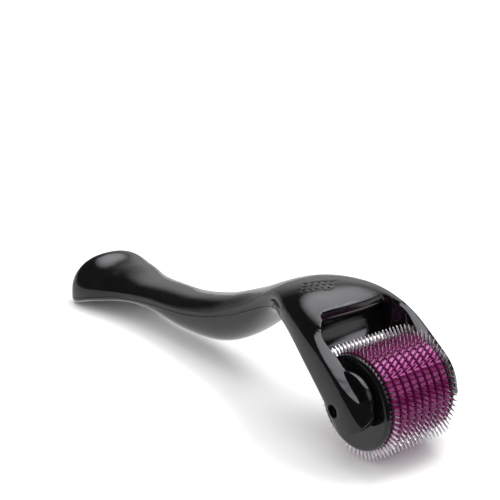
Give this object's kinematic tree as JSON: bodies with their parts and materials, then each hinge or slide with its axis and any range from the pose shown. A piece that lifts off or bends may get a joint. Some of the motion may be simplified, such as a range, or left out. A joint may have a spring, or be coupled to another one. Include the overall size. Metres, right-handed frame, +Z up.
{
  "type": "derma roller",
  "caption": "Skin roller: S-curved two-shell handle with a forked hood that carries a free-spinning drum of needle discs and spacer rings.",
  "frame": {"origin": "middle of the bounding box at the level of the surface the roller lies on", "axes": "+X from the handle's tail to the roller head, +Y along the axle towards the right arm, +Z up"},
  "size_m": [0.138, 0.0316, 0.0326],
  "materials": {
    "black_plastic": "high gloss moulded ABS",
    "ring_plastic": "glossy translucent magenta",
    "core_plastic": "satin magenta",
    "bush_plastic": "satin acetal",
    "needle_steel": "bright etched stainless steel",
    "pin_steel": "turned steel"
  },
  "bodies": {
    "handle": {"axle_pin": "pin_steel", "balance_bar": "pin_steel", "hood_tray": "black_plastic", "left_bush": "bush_plastic", "locating_dowels": "black_plastic", "lower_shell": "black_plastic", "right_bush": "bush_plastic", "upper_shell": "black_plastic"},
    "roller": {"left_end_cap": "black_plastic", "left_washer": "pin_steel", "needle_disc_1": "needle_steel", "needle_disc_2": "needle_steel", "needle_disc_3": "needle_steel", "needle_disc_4": "needle_steel", "needle_disc_5": "needle_steel", "needle_disc_6": "needle_steel", "needle_disc_7": "needle_steel", "needle_disc_8": "needle_steel", "needle_disc_9": "needle_steel", "right_end_cap": "black_plastic", "right_washer": "pin_steel", "roller_core": "core_plastic", "spacer_ring_1": "ring_plastic", "spacer_ring_2": "ring_plastic", "spacer_ring_3": "ring_plastic", "spacer_ring_4": "ring_plastic", "spacer_ring_5": "ring_plastic", "spacer_ring_6": "ring_plastic", "spacer_ring_7": "ring_plastic", "spacer_ring_8": "ring_plastic"}
  },
  "joints": [
    {"name": "roller_spin", "type": "hinge", "parent": "handle", "child": "roller", "pos_m": [0.056, 0, 0.013], "axis": [0, 1, 0], "continuous": true}
  ]
}
